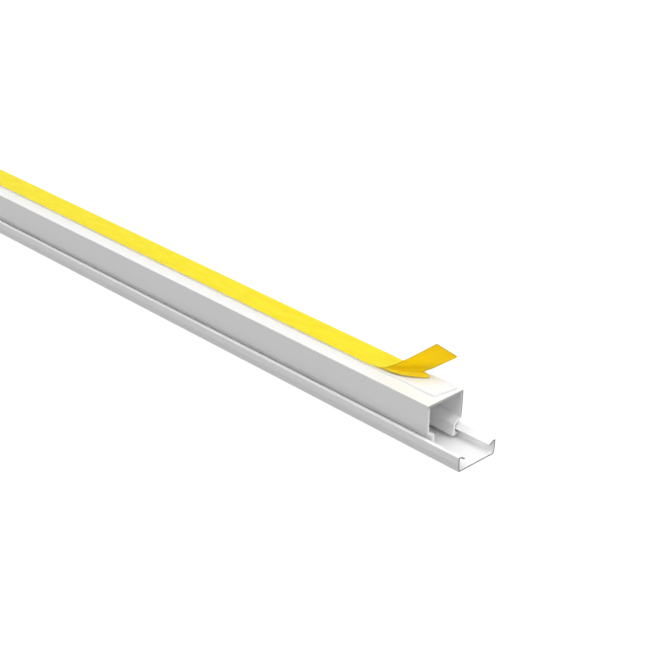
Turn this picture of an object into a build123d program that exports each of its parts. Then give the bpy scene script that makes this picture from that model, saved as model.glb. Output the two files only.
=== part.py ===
"""Self-adhesive cord cover raceway: a base with snap legs, a lipped cover, foam tape and release liner.

Millimetres. +X runs along the raceway, +Z points from the cover's outer face to the adhesive.
The origin is the middle of the cover's outer face. The raceway lies on its cover, adhesive up,
and the cover is slid part of the way out of the base towards +X.
"""
from math import atan2, cos, degrees, radians, sin, tan
import os

from build123d import *

os.makedirs("parts", exist_ok=True)

# Lengths along the raceway
cover_length = 400.0
base_length = 400.0
cover_out = 15.8            # how far the cover stands out past the base at the +X end

# Cover section
cover_width = 20.0
cover_height = 6.05
cover_wall = 0.6
side_lean = 0.4             # how far a side leans in on its way down to the floor
side_bend = 3.2             # height where a side starts to lean in
cover_round = 0.2           # small round on every corner of the cover's section
lip_crown = 1.05            # level part of a lip, at the middle of the wall
lip_gap = 13.4              # clear width between the two lip tips
lip_fall = 1.25             # how far a lip drops on its way in

# Base section
base_width = 18.9
base_top = 20.05            # height of the adhesive side above the cover's outer face
base_wall = 0.95
base_bend = 1.3             # radius where a step bends down into its leg, to the middle of the wall
base_corner = 0.25          # small round on the two corners of the adhesive side
step_high = 8.85            # where a wall turns inwards, at the middle of the wall
step_low = 6.9              # where a step turns down into its leg
leg_gap = 10.3              # clear width between the two legs
foot_clearance = 1.45       # from the cover's floor up to the feet
barb_hold = 1.3             # how far a barb reaches under a lip
barb_rise = 0.35            # how far a barb's underside climbs to its tip
barb_tip = 0.5              # height of a barb at its tip
barb_clearance = 0.35       # from a barb up to the lip that it holds under

# Foam tape and release liner
tape_width = 11.0
tape_thickness = 1.0
tape_offset = 2.2           # the tape lies off the middle of the base, towards +Y
tape_end_gap = 2.7          # bare base past each end of the tape
liner_width = 11.6
liner_thickness = 0.15
liner_tab = 0.9             # how far the liner would reach past the tape if laid flat
peel_from_end = 25.7        # from the tape's end back to where the liner's front edge leaves the tape
peel_slant = 46.0           # angle of the peel line to the raceway
peel_radius = 0.8           # bend at the peel line, to the middle of the liner
peel_angle = 55.0           # how steeply the liner leaves the tape
curl_radius = 130.0         # the peeled end curls on gently as it rises

# Places that follow from those sizes
base_end = cover_length / 2 - cover_out
base_middle = base_end - base_length / 2
tape_end = base_end - tape_end_gap
tape_length = base_length - 2 * tape_end_gap
liner_bottom = base_top + tape_thickness


def tangent_length(radius, turn):
    """How much of each side a bend takes from a corner that turns by this angle."""
    return radius * tan(radians(turn) / 2)


# The cover is one wall, bent up at both sides and in again along its lips
cover_side = (cover_width - cover_wall) / 2
cover_floor = cover_wall / 2
floor_side = cover_side - side_lean
cover_crown = cover_height - cover_wall / 2
lip_bend = cover_side - lip_crown
lip_tip = cover_crown - lip_fall
lip_slope = atan2(lip_fall, lip_bend - lip_gap / 2)

with BuildPart() as cover:
    with BuildSketch(Plane.YZ.offset(-cover_length / 2)) as cover_section:
        with BuildLine():
            Polyline(
                (-lip_gap / 2, lip_tip),
                (-lip_bend, cover_crown),
                (-cover_side, cover_crown),
                (-cover_side, side_bend),
                (-floor_side, cover_floor),
                (floor_side, cover_floor),
                (cover_side, side_bend),
                (cover_side, cover_crown),
                (lip_bend, cover_crown),
                (lip_gap / 2, lip_tip),
            )
        trace(line_width=cover_wall)
        fillet(cover_section.vertices(), radius=cover_round)
    extrude(amount=cover_length)

# The base is one wall bent into a U, with stepped legs that end in barbs under the cover's lips
base_side = (base_width - base_wall) / 2
base_web = base_top - base_wall / 2
leg_inside = leg_gap / 2
leg_middle = leg_inside + base_wall / 2
foot = cover_wall + foot_clearance
lip_underside = lip_tip - cover_wall / 2 * cos(lip_slope)
barb_end = lip_gap / 2 + barb_hold
barb_low = foot + barb_rise
barb_high = barb_low + barb_tip
barb_root = lip_underside - barb_clearance

with BuildPart() as base_channel:
    with BuildSketch(Plane.YZ.offset(base_end - base_length)):
        with BuildLine():
            FilletPolyline(
                (-leg_middle, foot),
                (-leg_middle, step_low),
                (-base_side, step_high),
                (-base_side, base_web),
                (base_side, base_web),
                (base_side, step_high),
                (leg_middle, step_low),
                (leg_middle, foot),
                radius=[base_bend, 0, 0, 0, 0, base_bend],
            )
        trace(line_width=base_wall)
        with BuildLine():
            Polyline(
                (leg_inside, foot),
                (barb_end, barb_low),
                (barb_end, barb_high),
                (leg_middle, barb_root),
                close=True,
            )
        barb = make_face()
        mirror(barb, about=Plane.YZ)
    extrude(amount=base_length)
    adhesive_side = base_channel.faces().sort_by(Axis.Z)[-1]
    fillet(adhesive_side.edges().filter_by(Axis.X), radius=base_corner)

# The foam tape lies on the adhesive side of the base
with BuildPart() as adhesive_tape:
    with BuildSketch(Plane.XY.offset(base_top)):
        with Locations((base_middle, tape_offset)):
            Rectangle(tape_length, tape_width)
    extrude(amount=tape_thickness)

# The release liner lies on the tape up to a slanted peel line, and its loose end stands up from there
liner_start = tape_end - tape_length
liner_front = tape_offset - liner_width / 2
liner_middle = liner_bottom + liner_thickness / 2
peel_start = tape_end - peel_from_end
flap_length = peel_from_end + liner_tab
flap_curl = degrees(flap_length / curl_radius)
peel_line = Vector(cos(radians(peel_slant)), sin(radians(peel_slant)), 0)
peel_axis = Axis((0, 0, 0), peel_line)
peel_corner = Vector(peel_start, liner_front, 0)
peel_plane = Plane(origin=peel_corner, x_dir=peel_line.rotate(Axis.Z, -90), z_dir=-peel_line)
flap_lean = peel_angle + flap_curl / 2
flap_along = Vector(1, 0, 0).rotate(peel_axis, -flap_lean)
flap_normal = Vector(0, 0, 1).rotate(peel_axis, -flap_lean)
flap_plane = Plane(origin=peel_corner + Vector(0, 0, liner_middle), x_dir=flap_along, z_dir=flap_normal)

with BuildPart() as laid_liner:
    with BuildSketch(peel_plane):
        with BuildLine():
            bend_start = (-tangent_length(peel_radius, peel_angle), liner_middle)
            Line((-base_length, liner_middle), bend_start)
            lower_bend = JernArc(bend_start, (1, 0), peel_radius, peel_angle / 2)
        trace(line_width=liner_thickness)
    extrude(amount=base_length, both=True)
    with BuildSketch():
        with Locations((liner_start, liner_front)):
            Rectangle(tape_length, liner_width, align=Align.MIN)
    extrude(amount=liner_middle + peel_radius, mode=Mode.INTERSECT)

with BuildPart() as flap:
    with BuildSketch(peel_plane):
        with BuildLine():
            upper_bend = JernArc(lower_bend @ 1, lower_bend % 1, peel_radius, peel_angle / 2)
            JernArc(upper_bend @ 1, upper_bend % 1, curl_radius, flap_curl)
        trace(line_width=liner_thickness)
    extrude(amount=base_length, both=True)
    with BuildSketch(flap_plane):
        Rectangle(2 * flap_length, liner_width, align=(Align.CENTER, Align.MIN))
    extrude(amount=peel_from_end, both=True, mode=Mode.INTERSECT)

with BuildPart() as release_liner:
    add(laid_liner.part)
    add(flap.part)

cover.part.label = "cover"
base_channel.part.label = "base_channel"
adhesive_tape.part.label = "adhesive_tape"
release_liner.part.label = "release_liner"

export_step(cover.part, "parts/cover.step")
export_step(base_channel.part, "parts/base_channel.step")
export_step(adhesive_tape.part, "parts/adhesive_tape.step")
export_step(release_liner.part, "parts/release_liner.step")
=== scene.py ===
"""Cord cover raceway: a white channel with snap legs, its lipped cover slid part of the way out,
foam tape along the adhesive side, and a yellow release liner whose near end is peeled up.

Metres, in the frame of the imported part: +X along the raceway towards the near end, +Y to the back,
+Z from the cover's outer face to the adhesive side.
"""

from math import cos, pi, radians, sin

import bpy
import numpy as np
from mathutils import Matrix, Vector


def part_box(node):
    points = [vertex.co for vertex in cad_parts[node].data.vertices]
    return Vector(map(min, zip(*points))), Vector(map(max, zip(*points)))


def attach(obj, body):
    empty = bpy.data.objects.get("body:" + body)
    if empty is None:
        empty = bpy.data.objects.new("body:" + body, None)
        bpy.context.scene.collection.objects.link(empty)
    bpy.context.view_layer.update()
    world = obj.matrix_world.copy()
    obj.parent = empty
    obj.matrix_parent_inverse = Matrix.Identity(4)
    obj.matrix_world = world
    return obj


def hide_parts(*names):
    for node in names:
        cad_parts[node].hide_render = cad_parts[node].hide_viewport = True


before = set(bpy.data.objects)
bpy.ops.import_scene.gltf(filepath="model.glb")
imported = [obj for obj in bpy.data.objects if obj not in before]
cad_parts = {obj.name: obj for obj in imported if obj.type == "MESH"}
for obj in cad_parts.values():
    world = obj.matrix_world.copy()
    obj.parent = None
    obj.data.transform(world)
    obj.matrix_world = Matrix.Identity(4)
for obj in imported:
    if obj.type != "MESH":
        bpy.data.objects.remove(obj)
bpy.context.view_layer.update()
MM = 0.001


# Shapes

ARC_POINTS, RIM_RINGS, BAR_STATIONS = 10, 6, 24


def rounded_loop(corners, radii):
    """A closed outline whose corners are arcs. Each corner is cut back by radius * tan(turn / 2) on both
    sides, and an arc of that radius sweeps through the turn. Gives the points and their outward normals;
    the outline runs anticlockwise, so outwards is to the right of the way it runs."""
    corners, radii = np.asarray(corners, float), np.asarray(radii, float)[:, None]
    into = corners - np.roll(corners, 1, axis=0)
    into /= np.linalg.norm(into, axis=1, keepdims=True)
    out = np.roll(into, -1, axis=0)
    left = np.stack([-into[:, 1], into[:, 0]], axis=1)
    turn = np.arctan2((left * out).sum(1), (into * out).sum(1))[:, None]
    side = np.sign(turn)
    middle = corners - into * radii * np.tan(abs(turn) / 2) + side * radii * left
    sweep = (abs(turn) * np.linspace(0, 1, ARC_POINTS))[:, :, None]
    along, across, way = into[:, None], left[:, None], side[:, :, None]
    points = middle[:, None] + radii[:, :, None] * (along * np.sin(sweep) - way * across * np.cos(sweep))
    heading = along * np.cos(sweep) + way * across * np.sin(sweep)
    normals = np.stack([heading[..., 1], -heading[..., 0]], axis=-1)
    return points.reshape(-1, 2), normals.reshape(-1, 2)


def offset_corners(path, amount):
    """The corners of an open path moved sideways: each corner goes to where its two shifted sides meet,
    which is amount along the sum of both sides' normals over 1 + their product. Positive is to the
    right."""
    path = np.asarray(path, float)
    run = np.diff(path, axis=0)
    run /= np.linalg.norm(run, axis=1, keepdims=True)
    right = np.stack([run[:, 1], -run[:, 0]], axis=1)
    before, after = np.vstack([right[:1], right]), np.vstack([right, right[-1:]])
    return path + amount * (before + after) / (1 + (before * after).sum(1, keepdims=True))


def mirrored(points):
    """The same corners on the other side of the middle plane, in the opposite order."""
    return np.asarray(points, float)[::-1] * [-1, 1]


def extruded_bar(outline, normals, start, end, edge, stations=BAR_STATIONS):
    """An outline in Y and Z carried along X from start to end. Near both cut ends the outline shrinks by
    edge * (1 - cos a) while X moves on by edge * sin a, for a from 0 to 90 degrees, so that each cut has
    a rounded rim of that radius. Gives the grid of points and of normals, ends included."""
    rim = np.linspace(pi / 2, 0, RIM_RINGS)
    shrink = edge * (1 - np.cos(rim))
    near, far = start + edge * (1 - np.sin(rim)), end - edge * (1 - np.sin(rim[::-1]))
    middle = np.linspace(start, end, stations)[1:-1]
    x = np.concatenate([near, middle, far])[:, None]
    inset = np.concatenate([shrink, 0 * middle, shrink[::-1]])[:, None]
    tilt = np.concatenate([-np.sin(rim), 0 * middle, np.sin(rim[::-1])])[:, None]
    yz = outline[None] - inset[:, :, None] * normals[None]
    points = np.concatenate([np.broadcast_to(x[:, None], yz.shape[:2] + (1,)), yz], axis=2)
    facing = np.concatenate([np.broadcast_to(tilt[:, None], yz.shape[:2] + (1,)),
                             np.sqrt(1 - tilt ** 2)[:, :, None] * normals[None]], axis=2)
    return points, facing


def tube_faces(rings, count):
    """Quads between neighbouring rings of points, and one face over each end ring."""
    corner = np.arange(rings * count).reshape(rings, count)
    after = np.roll(corner, -1, axis=1)
    quads = np.stack([corner[:-1], after[:-1], after[1:], corner[1:]], axis=-1).reshape(-1, 4)
    return quads.tolist() + [corner[0, ::-1].tolist(), corner[-1].tolist()]


def piece(name, points, faces, normals, body, node, materials):
    """A mesh object at the origin with its own normals, which stands for one node of the part."""
    mesh = bpy.data.meshes.new(name)
    mesh.from_pydata(np.asarray(points).reshape(-1, 3).tolist(), [], faces)
    mesh.polygons.foreach_set("use_smooth", np.ones(len(mesh.polygons), bool))
    mesh.normals_split_custom_set_from_vertices(np.asarray(normals).reshape(-1, 3).tolist())
    for material in materials:
        mesh.materials.append(material)
    made = bpy.data.objects.new(name, mesh)
    bpy.context.scene.collection.objects.link(made)
    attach(made, body)
    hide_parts(node)
    return made


# Finishes

class Wire:
    """An output in a node tree. Arithmetic with numbers or other wires adds Math nodes."""

    def __init__(self, tree, socket=None):
        self.tree = tree
        self.socket = socket

    def node(self, kind, settings, sockets, out=0):
        """Adds a node: its settings first, then its sockets' values or links."""
        made = self.tree.nodes.new(kind)
        for name, value in settings.items():
            setattr(made, name, value)
        for name, value in sockets.items():
            if isinstance(value, Wire):
                self.tree.links.new(value.socket, made.inputs[name])
            else:
                made.inputs[name].default_value = value
        return Wire(self.tree, made.outputs[out] if made.outputs else None)

    def math(self, operation, first, second):
        return self.node("ShaderNodeMath", {"operation": operation}, {0: first, 1: second})

    def __add__(self, other):
        return self.math("ADD", self, other)

    def __radd__(self, other):
        return self.math("ADD", other, self)

    def __sub__(self, other):
        return self.math("SUBTRACT", self, other)

    def __rsub__(self, other):
        return self.math("SUBTRACT", other, self)

    def __mul__(self, other):
        return self.math("MULTIPLY", self, other)

    def __rmul__(self, other):
        return self.math("MULTIPLY", other, self)

    def __abs__(self):
        return self.math("ABSOLUTE", self, 0.0)

    def between(self, low, high):
        """0 below low, 1 above high, and a smooth step between them."""
        return self.node("ShaderNodeMapRange", {"interpolation_type": "SMOOTHSTEP"},
                         {"Value": self, "From Min": low, "From Max": high})

    def object_place(self):
        """The piece's own coordinates, in metres."""
        return self.node("ShaderNodeTexCoord", {}, {}, out="Object")

    def axis(self, name):
        """One part of a vector: X, Y or Z."""
        return self.node("ShaderNodeSeparateXYZ", {}, {"Vector": self}, out=name)

    def attribute(self, name, out="Fac"):
        """What the piece's own mesh holds under this name."""
        return self.node("ShaderNodeAttribute", {"attribute_name": name}, {}, out=out)

    def noise(self, place, scale, detail):
        return self.node("ShaderNodeTexNoise", {}, {"Vector": place, "Scale": scale, "Detail": detail})

    def stretched_noise(self, place, scale, detail, turn=0.0):
        """Noise with a scale of its own along each axis, turned about X."""
        mapped = self.node("ShaderNodeMapping", {}, {
            "Vector": place, "Scale": scale, "Rotation": (turn, 0.0, 0.0)})
        return self.noise(mapped, 1.0, detail)

    def blend(self, factor, first, second):
        return self.node("ShaderNodeMix", {"data_type": "RGBA"},
                         {"Factor": factor, 6: first, 7: second}, out=2)

    def bump(self, strength, distance, height):
        return self.node("ShaderNodeBump", {}, {
            "Strength": strength, "Distance": distance, "Height": height})


def colour(red, green, blue):
    return (red, green, blue, 1.0)


def grey(level):
    return colour(level, level, level)


def new_finish(name):
    """An empty material, and a wire to build its nodes from."""
    material = bpy.data.materials.new(name)
    material.use_nodes = True
    material.node_tree.nodes.clear()
    return material, Wire(material.node_tree)


def facing_along(start, axis):
    """How squarely a surface faces along one axis, 0 to 1, either way."""
    return abs(start.node("ShaderNodeNewGeometry", {}, {}, out="Normal").axis(axis))


WEB_END_SHADE, BACK_END_SHADE = (18.3 * MM, 19.2 * MM), (8.2 * MM, 8.9 * MM)
SAW_SLANT = radians(24)


def white_pvc(name, tones, sawn_tone_and_shade, painted_end_shade):
    """Satin extruded plastic: fine lines along the raceway, and a rougher saw-cut finish on the cut ends,
    in a tone given for each piece that also carries painted shade, darker again along the web at the top
    and down the back wall."""
    material, start = new_finish(name)
    place = start.object_place()
    cut = facing_along(start, "X").between(0.55, 0.8)
    lines = start.stretched_noise(place, (9.0, 2400.0, 2400.0), 3.0)
    tone = start.noise(place, 40.0, 2.0)
    grain = start.noise(place, 6000.0, 2.0)
    saw = start.stretched_noise(place, (1.0, 7000.0, 900.0), 2.0, SAW_SLANT)
    plain = start.blend(tone * 0.6 + lines * 0.4, *tones)
    # Painted shade: the cut ends darken along the web at the top and down the back wall.
    end_shade_zone = start.math("MAXIMUM", place.axis("Z").between(*WEB_END_SHADE), place.axis("Y").between(*BACK_END_SHADE))
    end_tone_and_shade = start.blend(end_shade_zone, sawn_tone_and_shade, painted_end_shade)
    shade = start.blend(cut * (0.85 + saw * 0.15), plain, end_tone_and_shade)
    rough = 0.37 + lines * 0.1 + grain * 0.05 + cut * (0.2 + saw * 0.12)
    height = (1 - cut) * (lines * 0.5 + grain * 0.12) + cut * saw
    surface = start.node("ShaderNodeBsdfPrincipled", {}, {
        "Base Color": shade, "Roughness": rough, "IOR": 1.53,
        "Normal": start.bump(0.25, 0.04 * MM, height)})
    start.node("ShaderNodeOutputMaterial", {}, {"Surface": surface})
    return material


def foam():
    """White foam with cut cells along its sides, their pits painted darker as shade, and a smooth adhesive
    film on its faces, tinted cool as painted light against the warm bounce from the liner.
    """
    material, start = new_finish("foam_tape")
    place = start.object_place()
    film = facing_along(start, "Z").between(0.6, 0.9)
    cells = start.node("ShaderNodeTexVoronoi", {}, {"Vector": place, "Scale": 4200.0}, out="Distance")
    cup = 1 - cells.between(0.1, 0.55)
    ripple = start.stretched_noise(place, (500.0, 900.0, 900.0), 3.0)
    # Painted shade: the cut cells' pits are coloured darker.
    side = start.blend(cup, grey(0.87), grey(0.79))
    # Painted light: the faces are tinted cool to offset the warm light that bounces onto them from the
    # liner.
    shade = start.blend(film, side, colour(0.835, 0.875, 0.945))
    rough = 0.8 - film * 0.38 + ripple * 0.1
    height = ripple * 0.3 - cup * (1 - film)
    surface = start.node("ShaderNodeBsdfPrincipled", {}, {
        "Base Color": shade, "Roughness": rough,
        "Normal": start.bump(0.4, 0.08 * MM, height)})
    start.node("ShaderNodeOutputMaterial", {}, {"Surface": surface})
    return material


SEE_THROUGH = 0.5
# Painted shade along the lifted flap's cut edges, where the thin rim falls in shade.
RIM_SHADE, RIM_SHADE_DEPTH = colour(0.25, 0.17, 0.01), 0.85


def liner_finish(name, plain, mottled, painted_crease_shade, rough):
    """Coated paper with a faint mottle, painted shade in the valley along the crease and a painted dark
    shade line along the cut edges of its lifted end. Where it has lifted off the tape, light comes through
    it."""
    material, start = new_finish(name)
    flat = start.attribute("flat_place", out="Vector")
    lift, crease_shade, rim = (start.attribute(share) for share in ("lift", "crease_shade", "rim"))
    cloud = start.stretched_noise(flat, (110.0, 300.0, 300.0), 4.0)
    fibre = start.stretched_noise(flat, (900.0, 2600.0, 900.0), 3.0)
    sheet_shade = start.blend((cloud * 0.7 + fibre * 0.3).between(0.3, 0.75), plain, mottled)
    # Painted shade in the valley along the crease.
    shaded_at_crease = start.blend(crease_shade, sheet_shade, painted_crease_shade)
    # Painted shade: a dark line along the lifted flap's cut edges.
    shade = start.blend(rim * lift.between(0.0, 0.3) * RIM_SHADE_DEPTH, shaded_at_crease, RIM_SHADE)
    surface = start.node("ShaderNodeBsdfPrincipled", {}, {
        "Base Color": shade, "Roughness": rough + fibre * 0.12, "Specular IOR Level": 0.1,
        "Normal": start.bump(0.15, 0.06 * MM, cloud * 0.6 + fibre * 0.4)})
    through = start.node("ShaderNodeBsdfTranslucent", {}, {"Color": plain})
    both = start.node("ShaderNodeMixShader", {}, {0: lift * SEE_THROUGH, 1: surface, 2: through})
    start.node("ShaderNodeOutputMaterial", {}, {"Surface": both})
    return material


# Painted shade on the cut ends: the base's are darker along the web and down the back wall, and the cover's
# are dark grey all over.
base_pvc = white_pvc("base_pvc", (colour(0.872, 0.876, 0.876), colour(0.892, 0.893, 0.889)),
                     sawn_tone_and_shade=grey(0.82), painted_end_shade=grey(0.42))
# The cover's white is set a little lighter than the base's: painted light for its brighter crown and floor.
cover_pvc = white_pvc("cover_pvc", (colour(0.902, 0.905, 0.905), colour(0.92, 0.92, 0.917)),
                      sawn_tone_and_shade=grey(0.21), painted_end_shade=grey(0.21))
tape_foam = foam()
liner_top = liner_finish("liner_yellow", colour(0.925, 0.785, 0.028), colour(0.865, 0.70, 0.016),
                         painted_crease_shade=colour(0.92, 0.77, 0.027), rough=0.36)
# The underside's amber is partly the film's own colour and partly painted light: deeper and brighter than
# the top, for light that comes through the yellow film.
liner_under = liner_finish("liner_amber", colour(1.0, 0.785, 0.013), colour(0.99, 0.745, 0.01),
                           painted_crease_shade=colour(0.76, 0.55, 0.028), rough=0.42)


# Cover: one wall, bent up at both sides and in again along the lips

COVER_WALL, CUT_EDGE = 0.6 * MM, 0.07 * MM
LIP_CROWN, LIP_GAP, LIP_FALL = 1.05 * MM, 13.4 * MM, 1.25 * MM
SIDE_LEAN, SIDE_BEND = 0.4 * MM, 3.2 * MM
LIP_ROUND, SIDE_ROUND, FLOOR_ROUND = 0.2 * MM, 5.0 * MM, 0.5 * MM
cover_low, cover_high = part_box("cover")
cover_side = cover_high[1] - COVER_WALL / 2
crown = cover_high[2] - COVER_WALL / 2
half_cover = [(LIP_GAP / 2, crown - LIP_FALL), (cover_side - LIP_CROWN, crown), (cover_side, crown),
              (cover_side, SIDE_BEND), (cover_side - SIDE_LEAN, COVER_WALL / 2)]
cover_path = np.vstack([half_cover, mirrored(half_cover)])[::-1]
cover_corners = np.vstack([offset_corners(cover_path, COVER_WALL / 2),
                           offset_corners(cover_path, -COVER_WALL / 2)[::-1]])
half_radii = [LIP_ROUND, LIP_ROUND, LIP_ROUND, SIDE_ROUND, FLOOR_ROUND]
cover_loop, cover_normals = rounded_loop(cover_corners, (half_radii + half_radii[::-1]) * 2)
cover_points, cover_facing = extruded_bar(cover_loop, cover_normals, cover_low[0], cover_high[0], CUT_EDGE)
piece("lipped_cover", cover_points, tube_faces(*cover_points.shape[:2]), cover_facing,
      "cover", "cover", [cover_pvc])


# Base: one wall bent into a U, with stepped legs that end in barbs

BASE_WALL, BASE_BEND = 0.95 * MM, 1.3 * MM
STEP_HIGH, STEP_LOW, LEG_GAP = 8.85 * MM, 6.9 * MM, 10.3 * MM
BARB_REACH, BARB_RISE, BARB_TIP, BARB_ROOT = 2.85 * MM, 0.35 * MM, 0.5 * MM, 1.65 * MM
WALL_LEAN, LEAN_HIGH = 0.24 * MM, 10.95 * MM
BARB_ROUNDS = [0.1 * MM, 0.12 * MM, 0.12 * MM, 0.15 * MM]
FOOT_ROUND, LEAN_ROUND, TOP_ROUND = 0.2 * MM, 15.0 * MM, 0.25 * MM
STEP_ROUND, WEB_ROUND = 0.15 * MM, 0.2 * MM
base_low, base_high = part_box("base_channel")
base_side = base_high[1] - BASE_WALL / 2
leg_inside, leg_middle = LEG_GAP / 2, (LEG_GAP + BASE_WALL) / 2
foot = base_low[2]
wall_line = [(leg_middle, foot), (leg_middle, STEP_LOW), (base_side, STEP_HIGH),
             (base_side, base_high[2] - BASE_WALL / 2)]
barb = [(leg_inside, foot), (leg_inside + BARB_REACH, foot + BARB_RISE),
        (leg_inside + BARB_REACH, foot + BARB_RISE + BARB_TIP), (leg_inside + BASE_WALL, foot + BARB_ROOT)]
leg_bend, wall_foot = offset_corners(wall_line, BASE_WALL / 2)[1:3]
right_outside = np.vstack([barb, leg_bend, wall_foot - [WALL_LEAN, 0],
                           (base_high[1], LEAN_HIGH), base_high[1:]])
right_inside = np.vstack([offset_corners(wall_line, -BASE_WALL / 2)[1:3],
                          np.array(base_high[1:]) - BASE_WALL])
outside_radii = BARB_ROUNDS + [BASE_BEND - BASE_WALL / 2, FOOT_ROUND, LEAN_ROUND, TOP_ROUND]
inside_radii = [BASE_BEND + BASE_WALL / 2, STEP_ROUND, WEB_ROUND]
base_corners = np.vstack([right_outside, mirrored(right_outside),
                          right_inside * [-1, 1], right_inside[::-1]])
base_radii = outside_radii + outside_radii[::-1] + inside_radii + inside_radii[::-1]
base_loop, base_normals = rounded_loop(base_corners, base_radii)
base_points, base_facing = extruded_bar(base_loop, base_normals, base_low[0], base_high[0], CUT_EDGE)
piece("channel_base", base_points, tube_faces(*base_points.shape[:2]), base_facing,
      "base", "base_channel", [base_pvc])


# Foam tape: a soft-edged strip, cut slightly askew at both ends

TAPE_FOOT, TAPE_ROUND, TAPE_CUT, TAPE_STATIONS = 0.05 * MM, 0.4 * MM, 0.12 * MM, 160
END_SKEW, SKEW_PIVOT = 1.1 * MM, 0.15
SKEW_FROM, SKEW_OVER = 150 * MM, 40 * MM
SIDE_PULL = 0.09 * MM
LONG_WAVE, SHORT_WAVE = (0.05 * MM, 310, 0.0), (0.04 * MM, 1130, 1.2)
tape_low, tape_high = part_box("adhesive_tape")


def hand_cut(points):
    """The strip's points, cut askew and a little unevenly. Past SKEW_FROM off the strip's middle, and in
    full SKEW_OVER further on, a point moves along X by END_SKEW times how far across it lies past
    SKEW_PIVOT. Both sides draw in by SIDE_PULL plus two sine waves along X, times the cube of the share
    of the way from the middle line to the side."""
    x, y, z = np.moveaxis(points, -1, 0)
    across = (y - tape_low[1]) / (tape_high[1] - tape_low[1])
    end_share = np.clip((abs(x - (tape_low[0] + tape_high[0]) / 2) - SKEW_FROM) / SKEW_OVER, 0, 1)
    wave = sum(height * np.sin(x * pace + shift) for height, pace, shift in (LONG_WAVE, SHORT_WAVE))
    return np.stack([x + end_share * END_SKEW * (across - SKEW_PIVOT),
                     y - (2 * across - 1) ** 3 * (SIDE_PULL + wave), z], axis=-1)


tape_corners = [(tape_low[1], tape_low[2]), (tape_high[1], tape_low[2]),
                (tape_high[1], tape_high[2]), (tape_low[1], tape_high[2])]
tape_loop, tape_normals = rounded_loop(tape_corners, [TAPE_FOOT, TAPE_FOOT, TAPE_ROUND, TAPE_ROUND])
tape_points, tape_facing = extruded_bar(tape_loop, tape_normals, tape_low[0], tape_high[0],
                                        TAPE_CUT, TAPE_STATIONS)
piece("foam_strip", hand_cut(tape_points), tube_faces(*tape_points.shape[:2]), tape_facing,
      "base", "adhesive_tape", [tape_foam])


# Release liner: a thin sheet, flat on the tape up to a slanted crease and standing up past it

LINER_WIDTH, LINER_THICK, LINER_TAB = 11.6 * MM, 0.15 * MM, 0.9 * MM
FLAP_LENGTH, CORNER_ROUND = 29.0 * MM, 0.8 * MM
LAID_ROWS, FLAP_ROWS, SHEET_COLUMNS = 80, 290, 80
PEEL_FROM_END, PEEL_SLANT, PEEL_ANGLE, CURL = 25.7 * MM, radians(46), radians(55), 7.6
FRONT_CREASE, BACK_CREASE = 7.0 * MM, 0.75 * MM
BEND_REACH, BEND_STEPS = 30 * MM, 4000
ROLL_OUT, ROLL_UP, ROLL_SHIFT, ROLL_POWER = 5.55 * MM, 1.02 * MM, 0.73 * MM, 3.66
ROLL_BEFORE, ROLL_AFTER, ROLL_ALONG = 2.37 * MM, 1.09 * MM, 1.84 * MM
CREST_PLACE, CREST_WIDTH = 1.19 * MM, 0.62 * MM
DIP_DOWN, DIP_SHIFT, DIP_PLACE, DIP_WIDTH = 1.26 * MM, 3.09 * MM, 1.5 * MM, 0.655 * MM
LIFT_FROM, LIFT_OVER = 0.5 * MM, 7 * MM
CREASE_SHADE_PLACE, CREASE_SHADE_WIDTH, RIM_WIDTH = -0.1 * MM, 1.0 * MM, 0.35 * MM
liner_start, liner_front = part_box("release_liner")[0][:2]
liner_length = tape_high[0] - tape_low[0] + LINER_TAB
peel_x = tape_high[0] - PEEL_FROM_END


def bend(d, crease):
    """Where a strip goes that turns up by the peel angle. Its slope is 0 before the crease, climbs by a
    smooth step from -crease to +crease, and grows by CURL per metre after it. The sums of the slope's
    cosine and sine along d give how far out and how high each point lies, so no length changes."""
    ladder = np.linspace(-2 * crease, BEND_REACH, BEND_STEPS)
    rise = np.clip((ladder + crease) / (2 * crease), 0, 1)
    slope = PEEL_ANGLE * rise ** 2 * (3 - 2 * rise) + CURL * np.clip(ladder, 0, None)
    middle, step = (slope[1:] + slope[:-1]) / 2, ladder[1] - ladder[0]
    out = ladder[0] + np.concatenate([[0], np.cumsum(np.cos(middle)) * step])
    high = np.concatenate([[0], np.cumsum(np.sin(middle)) * step])
    return np.where(d < ladder[0], d, np.interp(d, ladder, out)), np.interp(d, ladder, high)


def hump(d, centre, width):
    """A smooth hump of height 1: e to the power of minus the square of the distance over the width."""
    return np.exp(-((d - centre) / width) ** 2)


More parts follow.
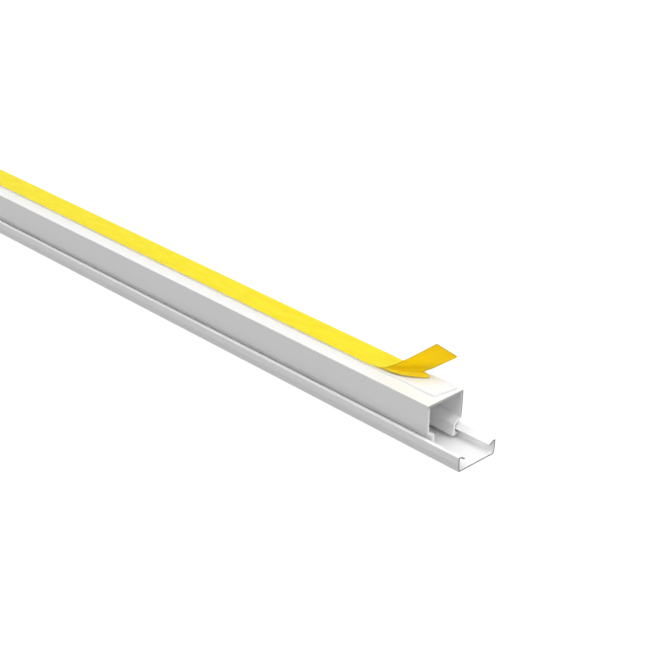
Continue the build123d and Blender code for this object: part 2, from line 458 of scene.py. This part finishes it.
def peeled_sheet(x, y):
    """The flat strip's points x, y bent about the crease. d is the distance past the crease, square to
    it, and t goes from 0 at the front edge to 1 at the back edge. The bend is soft at the front and tight
    at the back. Towards the back the sheet first bulges out over the tape in a roll before it climbs:
    1 - (1 - t) ** ROLL_POWER times humps in d push it out, up and along the crease at the roll, and down
    and back along it at the dip above. Gives the points and d."""
    d = (x - peel_x) * sin(PEEL_SLANT) - (y - liner_front) * cos(PEEL_SLANT)
    along = (x - peel_x) * cos(PEEL_SLANT) + (y - liner_front) * sin(PEEL_SLANT)
    t = (y - liner_front) / LINER_WIDTH
    soft, tight = bend(d, FRONT_CREASE), bend(d, BACK_CREASE)
    roll = 1 - (1 - t) ** ROLL_POWER
    lobe = hump(d, 0, np.where(d < 0, ROLL_BEFORE, ROLL_AFTER))
    crest, dip = hump(d, CREST_PLACE, CREST_WIDTH), hump(d, DIP_PLACE, DIP_WIDTH)
    reach = (1 - t) * soft[0] + t * tight[0] + roll * ROLL_OUT * lobe
    climb = (1 - t) * soft[1] + t * tight[1] + roll * (ROLL_UP * crest - DIP_DOWN * dip)
    along = along + roll * (ROLL_SHIFT * hump(d, 0, ROLL_ALONG) - DIP_SHIFT * dip)
    points = np.stack([peel_x + along * cos(PEEL_SLANT) + reach * sin(PEEL_SLANT),
                       liner_front + along * sin(PEEL_SLANT) - reach * cos(PEEL_SLANT),
                       tape_high[2] + LINER_THICK / 2 + climb], axis=-1)
    return points, d


def grid_normals(points):
    """The normals of a grid of points: the product of the steps along its two directions, at length 1."""
    normals = np.cross(np.gradient(points, axis=0), np.gradient(points, axis=1))
    return normals / np.linalg.norm(normals, axis=-1, keepdims=True)


def sheet_faces(rows, columns):
    """Quads over a grid of points, the same turned round on a second grid behind it, and a strip of quads
    round the rim between both. Gives the faces over and the faces under, the rim's among them."""
    grid = np.arange(rows * columns).reshape(rows, columns)
    over = np.stack([grid[:-1, :-1], grid[1:, :-1], grid[1:, 1:], grid[:-1, 1:]], axis=-1).reshape(-1, 4)
    behind = over[:, ::-1] + grid.size
    rim = np.concatenate([grid[:-1, 0], grid[-1, :-1], grid[:0:-1, -1], grid[0, :0:-1]])
    rim_next = np.roll(rim, -1)
    edge = np.stack([rim, rim + grid.size, rim_next + grid.size, rim_next], axis=-1)
    return over, np.vstack([behind, edge])


# The loose end's corners are rounded: near a side the end draws back by r - sqrt(r ** 2 - (r - gap) ** 2)
liner_end = liner_start + liner_length
flap_start = liner_end - FLAP_LENGTH
liner_back = liner_front + LINER_WIDTH
liner_x = np.concatenate([np.linspace(liner_start, flap_start, LAID_ROWS)[:-1],
                          np.linspace(flap_start, liner_end, FLAP_ROWS)])
flat_x, flat_y = np.meshgrid(liner_x, np.linspace(liner_front, liner_back, SHEET_COLUMNS), indexing="ij")
side_gap = np.minimum(flat_y - liner_front, liner_back - flat_y)
corner_cut = CORNER_ROUND - np.sqrt(CORNER_ROUND ** 2 - np.clip(CORNER_ROUND - side_gap, 0, None) ** 2)
flat_x -= corner_cut * np.clip((flat_x - flap_start) / FLAP_LENGTH, 0, 1)

sheet, past_crease = peeled_sheet(flat_x, flat_y)
sheet_normals = grid_normals(sheet)
half_thick = sheet_normals * LINER_THICK / 2
over, under = sheet_faces(*flat_x.shape)
liner = piece("peeled_liner", [sheet + half_thick, sheet - half_thick], np.vstack([over, under]).tolist(),
              [sheet_normals, -sheet_normals], "base", "release_liner",
              [liner_top, liner_under])
sides = np.repeat([0, 1], [len(over), len(under)])
liner.data.polygons.foreach_set("material_index", sides.astype(np.int32))

# Shares from 0 to 1 that the liner's finish reads, and each point's place on the flat strip
shares = {"lift": np.clip((past_crease - LIFT_FROM) / LIFT_OVER, 0, 1),
          "crease_shade": hump(past_crease, CREASE_SHADE_PLACE, CREASE_SHADE_WIDTH),
          # rim places the painted shade line along the cut edges.
          "rim": np.clip(1 - np.minimum(side_gap, liner_end - corner_cut - flat_x) / RIM_WIDTH, 0, 1)}
for share_name, share in shares.items():
    layer = liner.data.attributes.new(share_name, "FLOAT", "POINT")
    layer.data.foreach_set("value", np.tile(share.ravel(), 2).astype(np.float32))
flat_layer = liner.data.attributes.new("flat_place", "FLOAT_VECTOR", "POINT")
flat_points = np.stack([flat_x, flat_y, 0 * flat_x], axis=-1).reshape(-1, 3)
flat_layer.data.foreach_set("vector", np.tile(flat_points, (2, 1)).astype(np.float32).ravel())


# Floor and sky

FLOOR_SIZE, FLOOR_DROP = 4.0, 0.05 * MM
FLOOR_BOUNCE, FLOOR_TONE, FLOOR_GLOW = 0.2, 0.36, 0.72
GLOW_NEAR, GLOW_FAR = 0.3, 2.4
SKY = 0.03


def seen_directly(start):
    """1 for rays from the camera, or by way of a reflection or clear material, and 0 for other light."""
    rays = [start.node("ShaderNodeLightPath", {}, {}, out=name)
            for name in ("Is Camera Ray", "Is Glossy Ray", "Is Transmission Ray")]
    return start.math("MINIMUM", rays[0] + rays[1] + rays[2], 1.0)


def pale_floor():
    """A white floor: plain grey for the light that it sends back up, and lifted to white where it is
    seen, the more so away from the middle, where less light falls."""
    material, start = new_finish("pale_floor")
    plain = start.node("ShaderNodeBsdfDiffuse", {}, {"Color": grey(FLOOR_BOUNCE)})
    shaded = start.node("ShaderNodeBsdfDiffuse", {}, {"Color": grey(FLOOR_TONE)})
    away = start.node("ShaderNodeVectorMath", {"operation": "LENGTH"},
                      {0: start.object_place()}, out="Value")
    lifted = start.blend(away.between(GLOW_NEAR, GLOW_FAR), grey(FLOOR_GLOW), grey(1.0))
    glow = start.node("ShaderNodeEmission", {}, {"Color": lifted})
    white = start.node("ShaderNodeAddShader", {}, {0: shaded, 1: glow})
    both = start.node("ShaderNodeMixShader", {}, {0: seen_directly(start), 1: plain, 2: white})
    start.node("ShaderNodeOutputMaterial", {}, {"Surface": both})
    return material


floor_mesh = bpy.data.meshes.new("floor")
floor_corners = FLOOR_SIZE * np.array([(-1, -1, 0), (1, -1, 0), (1, 1, 0), (-1, 1, 0)]) - [0, 0, FLOOR_DROP]
floor_mesh.from_pydata(floor_corners.tolist(), [], [(0, 1, 2, 3)])
floor_mesh.materials.append(pale_floor())
floor = bpy.data.objects.new("floor", floor_mesh)
bpy.context.scene.collection.objects.link(floor)

world = bpy.data.worlds.new("studio")
world.use_nodes = True
world.node_tree.nodes.clear()
sky = Wire(world.node_tree)
strength = SKY + seen_directly(sky) * (1 - SKY)
background = sky.node("ShaderNodeBackground", {}, {"Color": grey(1.0), "Strength": strength})
sky.node("ShaderNodeOutputWorld", {}, {"Surface": background})
bpy.context.scene.world = world


# Lamps and camera

NEAR_END = np.array([0.1, 0.0, 0.0])
OVERHEAD = 0.9
WIDE, SMALL = 1.6, 1.0
LAMPS = {
    "key": ((0.1, -0.33, 1.87), WIDE, 17.6),
    "front": ((0.1, -1.5, 1.17), WIDE, 13.0),
    "end_steep": ((0.9, 0.0, 1.72), WIDE, 8.0),
    "end_fill": ((1.89, 0.0, 0.65), SMALL, 10.0),
    "camera_fill": ((1.36, -1.26, 0.65), SMALL, 3.5),
    "back": ((1.05, 0.95, 1.34), WIDE, 7.0),
    "back_fill": ((0.3, 1.75, 0.7), SMALL, 6.5),
    "left_fill": ((-1.7, -0.5, 0.6), SMALL, 3.0),
}
VIEW_TURN, VIEW_DOWN, VIEW_ROLL = radians(45.10), radians(26.34), radians(1.41)
VIEW_PLACE = (0.4884, -0.3653, 0.28225)
VIEW_SENSOR, VIEW_LENS, VIEW_NEAR = 36.0, 83.71, 0.01


def set_up(name, data, right, up, back, place):
    """A lamp or a camera at a place, with its own X, Y and Z along the three directions."""
    made = bpy.data.objects.new(name, data)
    turn = np.eye(4)
    turn[:3] = np.stack([right, up, back, place], axis=1)
    made.matrix_world = Matrix(turn.tolist())
    bpy.context.scene.collection.objects.link(made)
    return made


def softbox(name, place, size, power):
    """A square lamp that faces the near end. Its right is the product of an upright, or +Y for a lamp
    overhead, and the way back to it, and its up is the product of the way back and its right."""
    lamp = bpy.data.lights.new(name, "AREA")
    lamp.shape = "SQUARE"
    lamp.size = size
    lamp.energy = power
    back = np.array(place) - NEAR_END
    back /= np.linalg.norm(back)
    right = np.cross([0.0, 1.0, 0.0] if back[2] > OVERHEAD else [0.0, 0.0, 1.0], back)
    right /= np.linalg.norm(right)
    set_up(name, lamp, right, np.cross(back, right), back, place)


for lamp_name, (lamp_place, lamp_size, lamp_power) in LAMPS.items():
    softbox(lamp_name, lamp_place, lamp_size, lamp_power)

toward = np.array([sin(VIEW_TURN) * cos(VIEW_DOWN), -cos(VIEW_TURN) * cos(VIEW_DOWN), sin(VIEW_DOWN)])
level = np.array([cos(VIEW_TURN), sin(VIEW_TURN), 0.0])
upright = np.cross(toward, level)
view_right = cos(VIEW_ROLL) * level + sin(VIEW_ROLL) * upright
view_up = cos(VIEW_ROLL) * upright - sin(VIEW_ROLL) * level
lens = bpy.data.cameras.new("view")
lens.sensor_width = VIEW_SENSOR
lens.lens = VIEW_LENS
lens.clip_start = VIEW_NEAR
bpy.context.scene.camera = set_up("view", lens, view_right, view_up, toward, VIEW_PLACE)
bpy.context.scene.view_settings.view_transform = "Standard"
